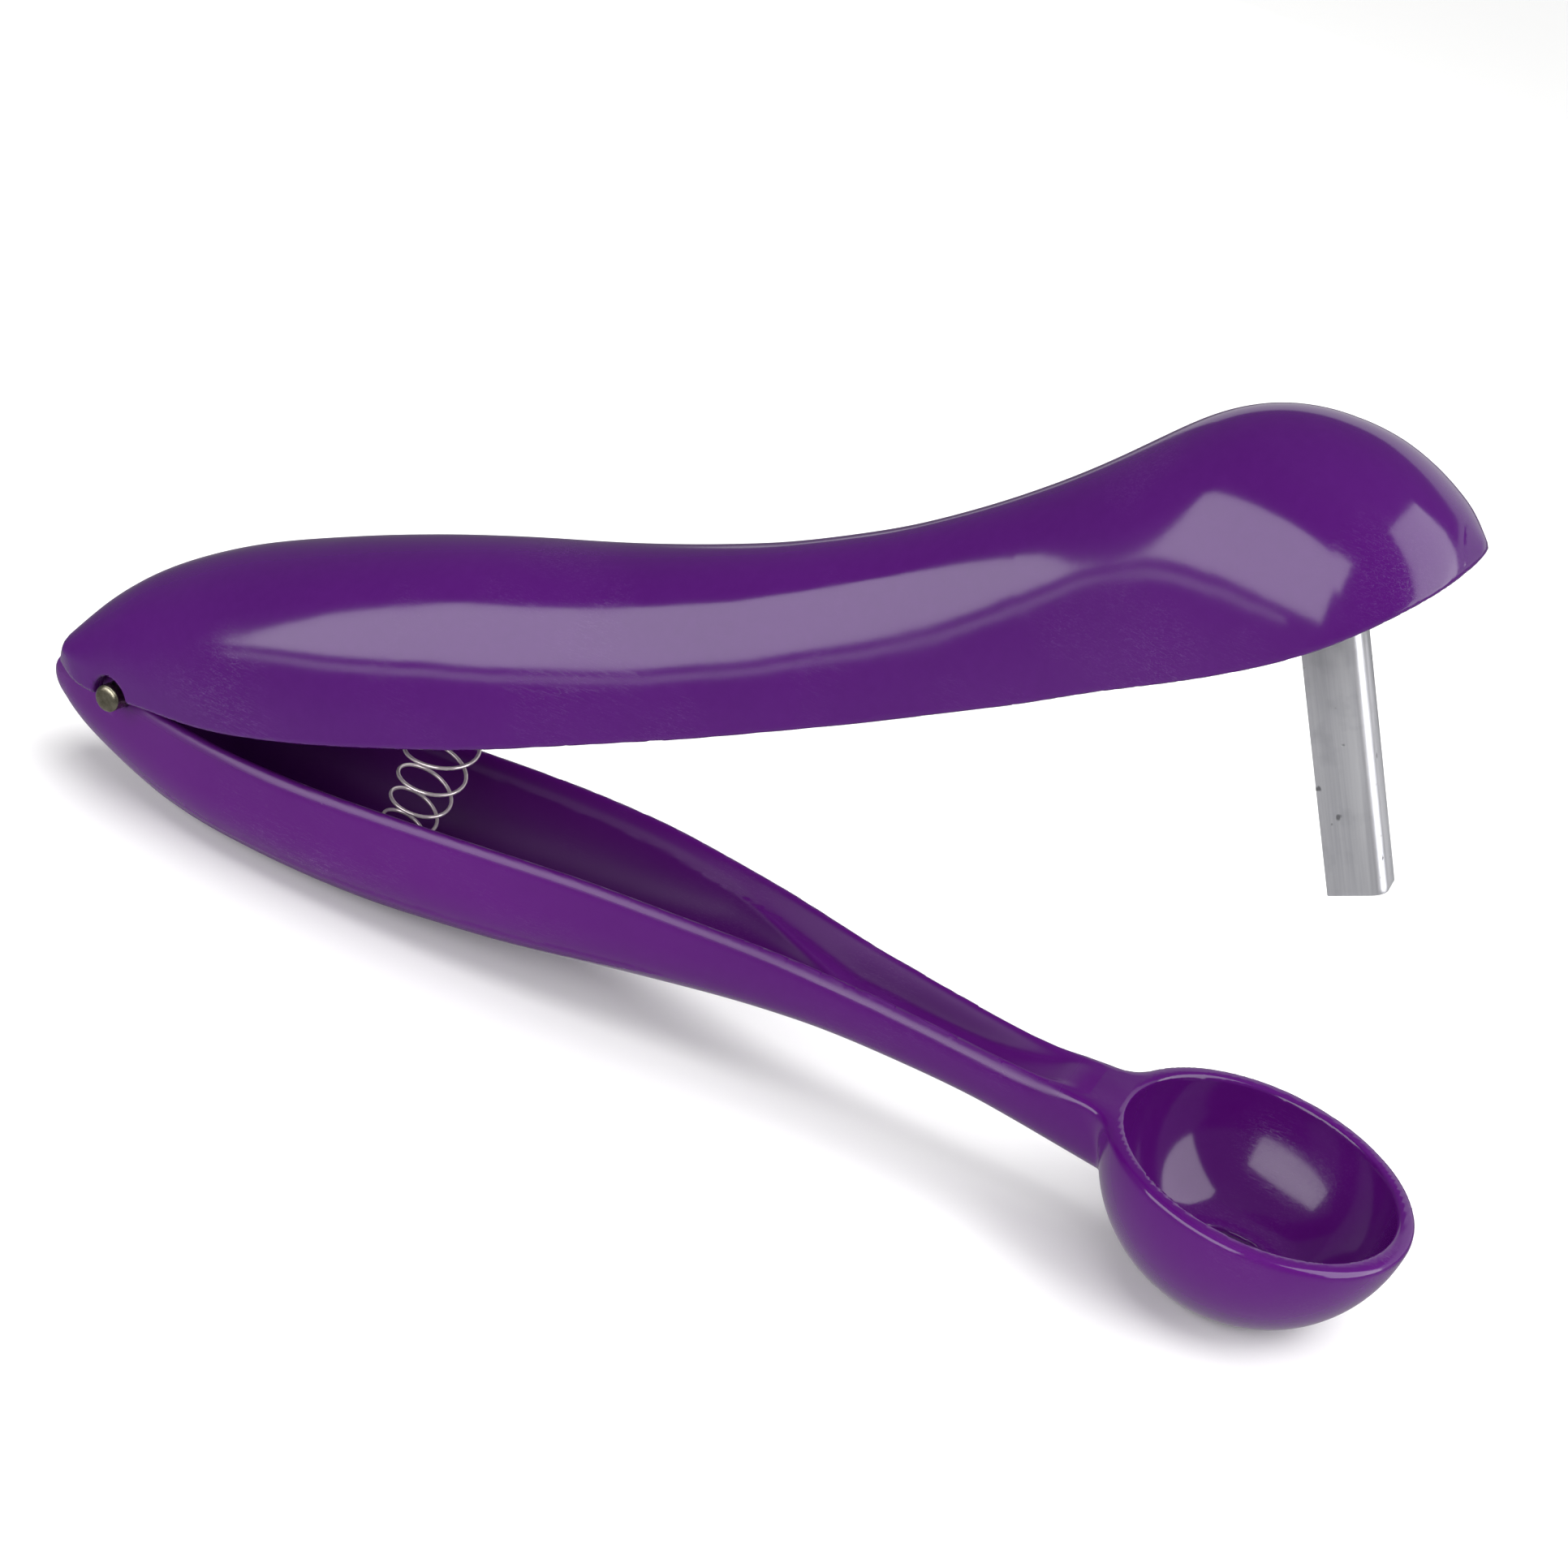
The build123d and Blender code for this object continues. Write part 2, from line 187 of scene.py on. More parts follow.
def upper_form(P, inset):
    def g(Q):
        x = Q[..., 0]
        if inset:
            t = np.clip((x - 141) / 7.6, 0, None)
            half = np.maximum(up_half(x) - inset - 2.0 * t * t, 0.6)
            top = up_top(x) - inset - 1.4 * t * t
        else:
            half = np.maximum(up_half(x), 0.6)
            top = up_top(x)
        lift = np.clip((10 - x) / 8, 0, 1)
        eq = np.minimum(up_rim(x) + 1.5 + 1.5 * lift * lift * (3 - 2 * lift), top - 2.5)
        near = ramp01((x - 128) / 15)
        eq = eq * (1 - near) + np.minimum(eq, up_rim(x) - 0.2) * near
        p = 2.25 - 0.15 * np.clip((x - 110) / 20, 0, 1)
        return dome(Q, half, eq, top, p)
    return unit(g, P)


REAR_R = None


def rear_radius(y):
    """How far the lower arm's rear end reaches from the hinge axis at each y."""
    global REAR_R
    if REAR_R is None:
        ys = np.linspace(0, 9.0, 91)
        x = np.linspace(-13.9, -1.0, 260)
        rs = np.zeros_like(ys)
        for i, yv in enumerate(ys):
            half, bot, rim = low_half(x), low_bot(x), low_rim(x)
            eq = np.minimum(rim - 1.2, 0.4 * rim + 0.6 * bot + 2.6)
            a = yv / half
            ok = a < 1
            z = eq + (bot - eq) * np.where(ok, (1 - np.clip(a, 0, 1) ** 2.45), 0) ** (1 / 2.45)
            # only what comes level with the upper arm's rear walls counts
            z = np.maximum(z, 0.38 * x - 0.3)
            rr = np.maximum(np.hypot(x, z), np.hypot(x, rim))
            rs[i] = (rr * ok).max()
        REAR_R = (ys, rs)
    return np.interp(np.abs(y), *REAR_R, right=0.0)


def upper_arm(P):
    x, y, z = P[..., 0], P[..., 1], P[..., 2]
    out = upper_form(P, 0)
    inn = upper_form(P, 1.8)
    cut_rim = (up_rim(x) - z) * 0.96
    body = smax(out, cut_rim, 0.55)
    body = smax(body, -(x + 9.6), 0.5)
    # the hood's very tip is rounded off
    body = smax(body, (x - 151.6) + 0.03 * y * y, 2.0)
    shell = smax(body, -inn, 0.45)
    r = np.hypot(x, z)
    # open notch round the pin
    shell = smax(shell, 2.5 - r, 0.3)
    # room for the lower arm's rear end over the swing
    ang = np.degrees(np.arctan2(z, -x))
    swept = smax(r - (rear_radius(y) + 0.35), np.radians(ang - 48.5) * r, 0.4)
    swept = np.where(x < 0.5, swept, 9.0)
    shell = smax(shell, -swept, 0.25)
    # hinge ears under the roof
    ear = smax(smax(np.abs(np.abs(y) - 4.85) - 0.95, x - 17.6, 0.5), -(x + 4.2), 0.5)
    low_edge = np.interp(x, [-4.2, -3.1, 0, 5.5, 12.5, 16.8, 18.5], [-0.6, -2.9, -4.2, -5.3, -6.9, -7.2, -6.2])
    ear = smax(ear, low_edge - z, 0.5)
    ear = smax(ear, upper_form(P, 1.0), 0.4)
    shell = smin(shell, ear, 0.9)
    # socket round the plunger
    c, s = math.cos(math.radians(1.8)), math.sin(math.radians(1.8))
    lx = (x - 137.1) * c - z * s
    lz = (x - 137.1) * s + z * c
    L = np.stack([lx, y, lz], -1)
    sock = box_d(L, (0, 0, 6.2), (4.95, 4.85, 6.8), 0.9)
    sock = smax(sock, upper_form(P, 1.0), 0.4)
    shell = smin(shell, sock, 0.8)
    hole = box_d(L, (0, 0, 0), (2.78, 2.68, 7.0), 0.2)
    shell = smax(shell, -hole, 0.25)
    # spring boss
    boss = smax(np.hypot(x - 40.8, y) - 2.6, 4.4 - z, 0.5)
    boss = smax(boss, upper_form(P, 1.0), 0.4)
    shell = smin(shell, boss, 0.8)
    # bore of the ears
    shell = smax(shell, 1.66 - r, 0.12)
    return shell


def lower_arm(P):
    x, y, z = P[..., 0], P[..., 1], P[..., 2]

    def g_out(Q):
        X = Q[..., 0]
        rim, bot = low_rim(X), low_bot(X)
        eq = np.minimum(rim - 1.2, 0.4 * rim + 0.6 * bot + 2.6)
        half = np.maximum(low_half(X), 0.8)
        return dome(Q * np.array([1, 1, -1.0]), half, -eq, -bot, 2.45)

    def g_in(Q):
        X = Q[..., 0]
        fl = trough(X) + 2.0 * ramp01((X - 86) / 8)
        eq = np.maximum(low_rim(X) - 1.2, fl + 0.8)
        gone = ramp01((X - 72) / 21)
        half = (t_half(X) - 0.7 * ramp01((X - 14) / 14)) * (1 - gone) + 0.6 * gone
        return dome(Q * np.array([1, 1, -1.0]), np.maximum(half, 0.6), -eq, -fl, 2.3)

    def g_slope(Q):
        X = Q[..., 0]
        rim = low_rim(X)
        fall = np.clip(np.minimum(rim_fall(X), rim - trough(X) - 0.02), 0, None)
        outer = low_half(X) - 0.85
        bow = ramp01((X - 70) / 22)
        inner = t_half(X) - 0.7 * ramp01((X - 14) / 14) - 0.8 * bow
        t = np.clip((outer - np.abs(Q[..., 1])) / np.maximum(outer - inner, 0.5), -1.5, 1)
        drop = np.where(t < 0, t, t * (1 - bow) + t * t * (3 - 2 * t) * bow)
        lift = 0.9 * ramp01((X - 113.0) / 6)
        return rim + lift - np.maximum(fall, 0.3 * (t < 0)) * drop - Q[..., 2]

    out = unit(g_out, P)
    out = smax(out, -(x + 13.75), 1.2)
    out = smax(out, x - 127.0, 0.5)
    ball = np.sqrt((x - CUP_X) ** 2 + y ** 2 + (z - 1.0) ** 2) - 16.3
    # the neck runs into the cup with a fillet at the top and a crease lower down
    rise = ramp01((z - low_rim(x) + 5.2) / 4.8)
    solid = smin(out, ball, 0.5 + 2.2 * rise)
    top = (z - low_rim(x)) * 0.995
    soft = 0.7 * ramp01((x - 12) / 14) + 0.5 * ramp01((x - 80) / 12)
    soft = soft * ramp01((119 - x) / 9)
    solid = smax(solid, top, 1.4 + soft - 0.5 * ramp01((x - 112) / 8))
    solid = smax(solid, FOOT_Z - z, 0.3)
    inn = smax(unit(g_in, P), -(x + 11.9), 0.8)
    inn = smax(inn, x - 122.0, 0.5)
    solid = smax(solid, -inn, 0.35 + 0.5 * ramp01((x - 108) / 8))
    slope = smax(unit(g_slope, P), -(x + 11.0), 0.6)
    slope = smax(slope, x - 121.0, 0.5)
    solid = smax(solid, -slope, 0.7)
    cav = np.sqrt((x - CUP_X) ** 2 + y ** 2 + (z - 1.0) ** 2) - 14.4
    cav = smax(cav, -11.4 - z, 1.2)
    solid = smax(solid, -cav, 0.55)
    solid = smax(solid, 5.7 - np.hypot(x - CUP_X, y), 0.4)
    r = np.hypot(x, z)
    lug = smax(np.abs(np.abs(y) - 7.32) - 0.6, r - 3.7, 0.35)
    solid = smin(solid, lug, 0.4)
    seat = smax(np.hypot(x - 33.6, y) - 3.4, np.abs(z + 11.3) - 1.0, 0.4)
    post = smax(np.hypot(x - 33.6, y) - 1.35, np.abs(z + 9.4) - 2.8, 0.5)
    solid = smin(solid, smin(seat, post, 0.3), 0.3)
    solid = smax(solid, 1.6 - r, 0.12)
    return solid


# ------------------------------------------------------------------ meshing
def surface(f, lo, hi, h):
    """Quad mesh of the zero surface of f: one vertex per crossed cell, then
    pulled onto the surface. A coarse pass finds the cells that matter."""
    lo, hi = np.array(lo, float), np.array(hi, float)
    n = np.ceil((hi - lo) / h).astype(int) + 1
    n = ((n + 3) // 4) * 4 + 1
    # coarse pass
    cs = [lo[i] + np.arange((n[i] - 1) // 4 + 1) * 4 * h for i in range(3)]
    C = np.stack(np.meshgrid(*cs, indexing="ij"), -1)
    val_c = f(C.reshape(-1, 3)).reshape(C.shape[:3])
    near = np.abs(val_c) < 4 * h * 2.4 + 0.6
    # spread to neighbours
    pad = np.pad(near, 1)
    near = np.zeros_like(near)
    for dx in (0, 1, 2):
        for dy in (0, 1, 2):
            for dz in (0, 1, 2):
                near |= pad[dx:dx + near.shape[0], dy:dy + near.shape[1], dz:dz + near.shape[2]]
    fine = np.repeat(np.repeat(np.repeat(near, 4, 0), 4, 1), 4, 2)
    fine = fine[2:2 + n[0], 2:2 + n[1], 2:2 + n[2]]
    if fine.shape != tuple(n):
        fine = np.pad(fine, [(0, n[i] - fine.shape[i]) for i in range(3)], mode="edge")
    sign = np.repeat(np.repeat(np.repeat(np.where(val_c > 0, 1.0, -1.0), 4, 0), 4, 1), 4, 2)
    sign = sign[2:2 + n[0], 2:2 + n[1], 2:2 + n[2]]
    if sign.shape != tuple(n):
        sign = np.pad(sign, [(0, n[i] - sign.shape[i]) for i in range(3)], mode="edge")
    V = sign * 9.0
    idx = np.argwhere(fine)
    pts = lo + idx * h
    vals = np.concatenate([f(pts[i:i + 400000]) for i in range(0, len(pts), 400000)])
    V[fine] = vals
    neg = V < 0
    # cells crossed by the surface
    corners = [(a, b, c) for a in (0, 1) for b in (0, 1) for c in (0, 1)]
    cnt = sum(neg[a:n[0] - 1 + a, b:n[1] - 1 + b, c:n[2] - 1 + c].astype(np.int8) for a, b, c in corners)
    cell = (cnt > 0) & (cnt < 8)
    ids = -np.ones(cell.shape, np.int64)
    ci = np.argwhere(cell)
    ids[cell] = np.arange(len(ci))
    acc = np.zeros((len(ci), 3))
    num = np.zeros(len(ci))
    for a, b, c in corners:
        for ax in range(3):
            o = [a, b, c]
            if o[ax]:
                continue
            e = list(o)
            e[ax] = 1
            v0 = V[ci[:, 0] + o[0], ci[:, 1] + o[1], ci[:, 2] + o[2]]
            v1 = V[ci[:, 0] + e[0], ci[:, 1] + e[1], ci[:, 2] + e[2]]
            m = (v0 < 0) != (v1 < 0)
            t = np.where(m, v0 / np.where(m, v0 - v1, 1), 0)
            p = np.tile(np.array(o, float), (len(ci), 1))
            p[:, ax] = t
            acc[m] += p[m]
            num[m] += 1
    verts = lo + (ci + acc / num[:, None]) * h
    # pull onto the surface, staying near the cell
    start = verts.copy()
    for _ in range(4):
        e = 0.02
        g = np.stack([(f(verts + d) - f(verts - d)) / (2 * e)
                      for d in (np.array([e, 0, 0]), np.array([0, e, 0]), np.array([0, 0, e]))], -1)
        gg = np.maximum((g ** 2).sum(-1), 0.05)
        step = -(f(verts) / gg)[:, None] * g
        step = np.clip(step, -0.35 * h, 0.35 * h)
        verts = verts + step
        verts = start + np.clip(verts - start, -0.9 * h, 0.9 * h)
    # faces: one quad for each crossed grid edge
    quads = []
    for ax in range(3):
        u, w = [(1, 2), (2, 0), (0, 1)][ax]
        sl0 = [slice(None)] * 3
        sl1 = [slice(None)] * 3
        sl0[ax] = slice(0, n[ax] - 1)
        sl1[ax] = slice(1, n[ax])
        e0, e1 = neg[tuple(sl0)], neg[tuple(sl1)]
        cross = np.argwhere(e0 != e1)
        m = (cross[:, u] > 0) & (cross[:, w] > 0) & (cross[:, u] < n[u] - 1) & (cross[:, w] < n[w] - 1)
        cross = cross[m]
        if not len(cross):
            continue
        flip = e0[tuple(cross.T)]
        q = []
        for du, dw in ((-1, -1), (0, -1), (0, 0), (-1, 0)):
            cc = cross.copy()
            cc[:, u] += du
            cc[:, w] += dw
            q.append(ids[tuple(cc.T)])
        q = np.stack(q, -1)
        q[~flip] = q[~flip][:, ::-1]
        quads.append(q)
    quads = np.concatenate(quads)
    quads = quads[(quads >= 0).all(1)]
    return verts, quads


def relax(verts, quads, f, rounds=3):
    """Evens the mesh out along the surface, then pulls it back on."""
    e = np.concatenate([quads[:, [0, 1]], quads[:, [1, 2]], quads[:, [2, 3]], quads[:, [3, 0]]])
    e = np.concatenate([e, e[:, ::-1]])
    nv = len(verts)
    deg = np.bincount(e[:, 0], minlength=nv).astype(float)
    for _ in range(rounds):
        mean = np.stack([np.bincount(e[:, 0], weights=verts[e[:, 1], i], minlength=nv) for i in range(3)], -1)
        mean /= np.maximum(deg, 1)[:, None]
        h = 0.02
        g = np.stack([(f(verts + d) - f(verts - d)) / (2 * h)
                      for d in (np.array([h, 0, 0]), np.array([0, h, 0]), np.array([0, 0, h]))], -1)
        ln = np.sqrt((g ** 2).sum(-1))
        nrm = g / np.maximum(ln, 1e-6)[:, None]
        d = mean - verts
        d -= (d * nrm).sum(-1)[:, None] * nrm
        verts = verts + 0.5 * d
        verts = verts - (f(verts) / np.maximum(ln, 0.3))[:, None].clip(-0.15, 0.15) * nrm
    return verts


def normals(verts, f, e=0.09):
    g = np.stack([f(verts + d) - f(verts - d)
                  for d in (np.array([e, 0, 0]), np.array([0, e, 0]), np.array([0, 0, e]))], -1)
    return g / np.maximum(np.sqrt((g ** 2).sum(-1)), 1e-9)[:, None]


def make_object(name, verts_m, faces, material, smooth=True, nrm=None, dull=None, second=None):
    me = bpy.data.meshes.new(name)
    me.from_pydata([tuple(v) for v in verts_m], [], [tuple(int(i) for i in q) for q in faces])
    me.validate()
    me.update()
    if smooth:
        me.polygons.foreach_set("use_smooth", [True] * len(me.polygons))
    if nrm is not None and len(me.vertices) == len(nrm):
        me.normals_split_custom_set_from_vertices([tuple(float(c) for c in n) for n in nrm])
    if dull is not None:
        me.attributes.new("dull", "FLOAT", "POINT").data.foreach_set("value", np.asarray(dull, np.float32))
    ob = bpy.data.objects.new(name, me)
    bpy.context.scene.collection.objects.link(ob)
    me.materials.append(material)
    if second is not None:
        # faces whose corners are mostly inside take the second material
        me.materials.append(second[0])
        if len(me.polygons) == len(faces):
            part = np.asarray(second[1])[np.asarray(faces)].mean(1) > 0.5
            me.polygons.foreach_set("material_index", part.astype(np.int32))
    return ob


def drop_loose(verts, quads):
    """Keeps the largest connected part of the mesh."""
    parent = np.arange(len(verts))
    e = np.concatenate([quads[:, [0, 1]], quads[:, [1, 2]], quads[:, [2, 3]]])
    lab = parent.copy()
    while True:
        m = np.minimum(lab[e[:, 0]], lab[e[:, 1]])
        new = lab.copy()
        np.minimum.at(new, e[:, 0], m)
        np.minimum.at(new, e[:, 1], m)
        new = new[new]
        if (new == lab).all():
            break
        lab = new
    roots, counts = np.unique(lab, return_counts=True)
    main = roots[counts.argmax()]
    keep = lab == main
    remap = -np.ones(len(verts), np.int64)
    remap[keep] = np.arange(keep.sum())
    q = quads[keep[quads[:, 0]]]
    print("parts", len(roots), "kept", keep.sum(), "of", len(verts))
    return verts[keep], remap[q]


# ------------------------------------------------------------------ materials
def srgb(r, g, b):
    f = lambda c: c / 12.92 if c <= 0.04045 else ((c + 0.055) / 1.055) ** 2.4
    return (f(r / 255), f(g / 255), f(b / 255), 1.0)


def new_mat(name):
    m = bpy.data.materials.new(name)
    m.use_nodes = True
    nt = m.node_tree
    for n in list(nt.nodes):
        nt.nodes.remove(n)
    out = nt.nodes.new("ShaderNodeOutputMaterial")
    bsdf = nt.nodes.new("ShaderNodeBsdfPrincipled")
    nt.links.new(bsdf.outputs[0], out.inputs[0])
    return m, nt, bsdf


class N:
    """Small helper for node graphs."""

    def __init__(self, nt):
        self.nt = nt

    def node(self, kind, **props):
        n = self.nt.nodes.new(kind)
        for k, v in props.items():
            setattr(n, k, v)
        return n

    def link(self, a, b):
        self.nt.links.new(a, b)

    def put(self, sock, v):
        if isinstance(v, (int, float, tuple, list)):
            sock.default_value = v
        else:
            self.link(v, sock)

    def coords(self):
        return self.node("ShaderNodeTexCoord").outputs["Object"]

    def mapping(self, vec, loc=(0, 0, 0), rot=(0, 0, 0), scale=(1, 1, 1)):
        n = self.node("ShaderNodeMapping")
        self.link(vec, n.inputs[0])
        n.inputs["Location"].default_value = loc
        n.inputs["Rotation"].default_value = rot
        n.inputs["Scale"].default_value = scale
        return n.outputs[0]

    def noise(self, vec, scale, detail=2.0, rough=0.5, dist=0.0):
        n = self.node("ShaderNodeTexNoise")
        self.link(vec, n.inputs["Vector"])
        n.inputs["Scale"].default_value = scale
        n.inputs["Detail"].default_value = detail
        n.inputs["Roughness"].default_value = rough
        n.inputs["Distortion"].default_value = dist
        return n.outputs[0]

    def ramp(self, fac, stops):
        n = self.node("ShaderNodeMapRange")
        self.link(fac, n.inputs[0])
        n.inputs[1].default_value, n.inputs[2].default_value = stops[0], stops[1]
        n.inputs[3].default_value, n.inputs[4].default_value = stops[2], stops[3]
        n.clamp = True
        return n.outputs[0]

    def math(self, op, a, b=None):
        n = self.node("ShaderNodeMath", operation=op)
        self.put(n.inputs[0], a)
        if b is not None:
            self.put(n.inputs[1], b)
        return n.outputs[0]

    def mix(self, fac, a, b):
        n = self.node("ShaderNodeMix", data_type="RGBA")
        self.put(n.inputs[0], fac)
        self.put(n.inputs[6], a)
        self.put(n.inputs[7], b)
        return n.outputs[2]

    def bump(self, height, strength, distance, normal=None):
        n = self.node("ShaderNodeBump")
        n.inputs["Strength"].default_value = strength
        n.inputs["Distance"].default_value = distance
        self.link(height, n.inputs["Height"])
        if normal is not None:
            self.link(normal, n.inputs["Normal"])
        return n.outputs[0]


def ball_mask(k, vec, centre, radii, power=1.0):
    """1 at a centre (metres, row frame), falling to 0 over the radii."""
    n = k.mapping(vec, loc=tuple(-c / r for c, r in zip(centre, radii)),
                  scale=tuple(1 / r for r in radii))
    ln = k.node("ShaderNodeVectorMath", operation="LENGTH")
    k.link(n, ln.inputs[0])
    return k.ramp(ln.outputs["Value"], (0.15, 1.0, 1.0, 0.0))


# The default base is the upper arm's darker purple: painted shade, the same plastic as the lower arm
def plastic(name, scuffs, base=((60, 9, 84), (66, 12, 91)), gloss=0.5):
    m, nt, b = new_mat(name)
    k = N(nt)
    P = k.coords()
    broad = k.noise(P, 28.0, 2.0, 0.5)
    fine = k.noise(P, 900.0, 3.0, 0.6)
    body = k.mix(k.ramp(broad, (0.3, 0.7, 0.0, 1.0)), srgb(*base[0]), srgb(*base[1]))
    body = k.mix(k.ramp(fine, (0.35, 0.75, 0.0, 0.10)), body, srgb(82, 28, 108))
    # hairline scuffs: thin ridges of stretched noise, only where hands rub
    hair = None
    for rot, sc in (((0.2, 0.5, 0.3), (260, 2600, 2600)), ((1.1, 0.2, -0.5), (320, 3000, 3000))):
        v = k.mapping(P, rot=rot, scale=sc)
        s = k.noise(v, 1.0, 2.0, 0.6, 0.2)
        line = k.ramp(k.math("ABSOLUTE", k.math("SUBTRACT", s, 0.5)), (0.0, 0.012, 1.0, 0.0))
        hair = line if hair is None else k.math("MAXIMUM", hair, line)
    wear = k.ramp(k.noise(P, 60.0, 2.0, 0.6), (0.52, 0.70, 0.0, 0.5))
    for c, r, w in scuffs:
        wear = k.math("MAXIMUM", wear, k.math("MULTIPLY", ball_mask(k, P, c, r), w))
    scuff = k.math("MULTIPLY", hair, wear)
    colour = k.mix(k.math("MULTIPLY", scuff, 0.28), body, srgb(140, 108, 160))
    k.link(colour, b.inputs["Base Color"])
    rough = k.ramp(k.noise(P, 45.0, 3.0, 0.6), (0.3, 0.7, 0.09, 0.14))
    rough = k.math("ADD", rough, k.math("MULTIPLY", scuff, 0.22))
    # less polished where the piece's own "dull" value says so: inside, along the rim
    inner = k.node("ShaderNodeAttribute", attribute_name="dull")
    rough = k.math("ADD", rough, k.math("MULTIPLY", inner.outputs["Fac"], 0.48))
    k.link(rough, b.inputs["Roughness"])
    b.inputs["IOR"].default_value = 1.50
    b.inputs["Specular IOR Level"].default_value = gloss
    n1 = k.bump(k.noise(P, 160.0, 1.0, 0.4), 0.05, 0.0006)
    n2 = k.bump(fine, 0.03, 0.0001, n1)
    n3 = k.bump(scuff, 0.10, 0.00004, n2)
    k.link(n3, b.inputs["Normal"])
    return m


def steel_sheet(name, angle):
    """Folded stainless sheet, grain along its length, small dark specks."""
    m, nt, b = new_mat(name)
    k = N(nt)
    P = k.mapping(k.coords(), rot=(0, angle, 0))
    grain = k.noise(k.mapping(P, scale=(2600, 2600, 26)), 1.0, 4.0, 0.65)
    broad = k.noise(k.mapping(P, scale=(420, 420, 34)), 1.0, 3.0, 0.6)
    cloud = k.noise(P, 260.0, 3.0, 0.6)
    speck = k.ramp(k.noise(P, 700.0, 2.0, 0.5), (0.70, 0.76, 0.0, 1.0))
    colour = k.mix(k.ramp(broad, (0.3, 0.7, 0.0, 1.0)), srgb(190, 190, 197), srgb(218, 218, 223))
    colour = k.mix(k.ramp(grain, (0.35, 0.7, 0.0, 0.45)), colour, srgb(234, 234, 236))
    colour = k.mix(k.ramp(cloud, (0.55, 0.8, 0.0, 0.35)), colour, srgb(150, 151, 160))
    colour = k.mix(k.math("MULTIPLY", speck, 0.75), colour, srgb(70, 70, 72))
    k.link(colour, b.inputs["Base Color"])
    b.inputs["Metallic"].default_value = 0.85
    rough = k.ramp(grain, (0.25, 0.75, 0.30, 0.46))
    rough = k.math("ADD", rough, k.math("MULTIPLY", speck, 0.25))
    k.link(rough, b.inputs["Roughness"])
    b.inputs["Anisotropic"].default_value = 0.45
    n1 = k.bump(grain, 0.12, 0.00005)
    n2 = k.bump(cloud, 0.08, 0.0001, n1)
    n3 = k.bump(k.math("MULTIPLY", speck, -1.0), 0.25, 0.00006, n2)
    k.link(n3, b.inputs["Normal"])
    return m


def steel_pin(name):
    m, nt, b = new_mat(name)
    k = N(nt)
    P = k.coords()
    # rings about the hinge line (Y): distance from it, finely striped
    off = k.mapping(P, loc=(CUP_X * 0.001, 0, FOOT_Z * 0.001), scale=(1, 0, 1))
    ln = k.node("ShaderNodeVectorMath", operation="LENGTH")
    k.link(off, ln.inputs[0])
    rings = k.node("ShaderNodeMath", operation="SINE")
    k.link(k.math("MULTIPLY", ln.outputs["Value"], 42000.0), rings.inputs[0])
    dirt = k.noise(P, 900.0, 3.0, 0.6)
    colour = k.mix(k.ramp(dirt, (0.4, 0.7, 0.0, 1.0)), srgb(150, 145, 128), srgb(104, 99, 84))
    k.link(colour, b.inputs["Base Color"])
    b.inputs["Metallic"].default_value = 1.0
    k.link(k.ramp(dirt, (0.3, 0.7, 0.22, 0.40)), b.inputs["Roughness"])
    n1 = k.bump(rings.outputs[0], 0.12, 0.00003)
    n2 = k.bump(dirt, 0.15, 0.00008, n1)
    k.link(n2, b.inputs["Normal"])
    return m


def steel_wire(name):
    m, nt, b = new_mat(name)
    k = N(nt)
    P = k.coords()
    n = k.noise(P, 1500.0, 3.0, 0.6)
    # Near-white with a pink tint, kept partly non-metallic so it also shows as diffuse colour: painted
    # highlight, the pink a painted reflection of the purple plastic
    colour = k.mix(k.ramp(n, (0.35, 0.7, 0.0, 1.0)), srgb(250, 240, 240), srgb(222, 210, 210))
    k.link(colour, b.inputs["Base Color"])
    b.inputs["Metallic"].default_value = 0.60
    k.link(k.ramp(n, (0.3, 0.7, 0.14, 0.28)), b.inputs["Roughness"])
    k.link(k.bump(n, 0.1, 0.00003), b.inputs["Normal"])
    return m


UP = lambda x, y, z: tuple(float(v) for v in lf_to_row(uf_to_lf(np.array([x, y, z], float))))
LO = lambda x, y, z: tuple(float(v) for v in lf_to_row(np.array([x, y, z], float)))

# Both arms are the same plastic. The upper arm's base is set darker than the lower arm's: painted shade on the
# upper arm
upper_plastic = plastic("moulded_plastic_upper", [
    (UP(17, -13, -1.0), (0.013, 0.006, 0.0042), 0.6),
    (UP(20, 13, -1.0), (0.013, 0.006, 0.0042), 0.5),
    (UP(60, 0, 8), (0.02, 0.009, 0.003), 0.7)])
# The lower arm's base is set lighter than the upper arm's, though it is the same plastic: painted light on the
# lower arm
lower_plastic = plastic("moulded_plastic_lower", [
    (LO(30, -11, -8), (0.016, 0.006, 0.005), 0.8),
    (LO(CUP_X, 0, -12), (0.014, 0.014, 0.003), 0.8)],
    base=((68, 9, 90), (76, 12, 99)))
inner_plastic = plastic("moulded_plastic_inside", [
    (LO(33.6, 0, -10), (0.008, 0.008, 0.004), 0.9)],
    base=((70, 9, 92), (78, 12, 101)), gloss=0.16)
sheet_metal = steel_sheet("stainless_sheet", OPEN - math.radians(1.8))
pin_metal = steel_pin("turned_steel")
wire_metal = steel_wire("spring_steel_wire")

# ------------------------------------------------------------------ arms
CELL = 0.47

v, q = surface(upper_arm, (-11.5, -15.6, -12.0), (153.4, 15.6, 16.2), CELL)
v, q = drop_loose(v, q)
v = relax(v, q, upper_arm)
inside = ramp01((-0.8 - upper_form(v, 0)) / 0.6)
upper = make_object("upper_arm_shell", lf_to_row(uf_to_lf(v)), q, upper_plastic,
                    nrm=uf_to_lf(normals(v, upper_arm)), dull=inside,
                    second=(inner_plastic, inside))
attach(upper, "upper_body")
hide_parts("upper_arm")

